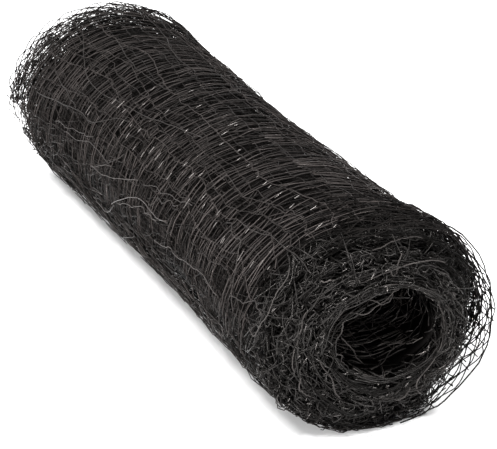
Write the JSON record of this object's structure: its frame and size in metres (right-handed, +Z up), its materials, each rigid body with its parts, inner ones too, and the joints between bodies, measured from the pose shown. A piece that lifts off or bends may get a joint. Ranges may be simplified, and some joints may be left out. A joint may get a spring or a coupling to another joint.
{
  "type": "roll of bird netting",
  "caption": "Fine black plastic bird netting folded and wound into a hollow roll that lies on its side, with a loose lacy last turn at both ends.",
  "frame": {"origin": "middle of the bounding box, on the floor that the roll lies on", "axes": "+Z up, +X along the roll's axis towards the end with the round shoulder, +Y across"},
  "size_m": [0.3162, 0.1018, 0.0861],
  "materials": {
    "net_strand": "charcoal black extruded plastic strand, slightly glossy, with thin bright glints"
  },
  "bodies": {
    "root": {"netting_roll": "net_strand"}
  },
  "joints": []
}
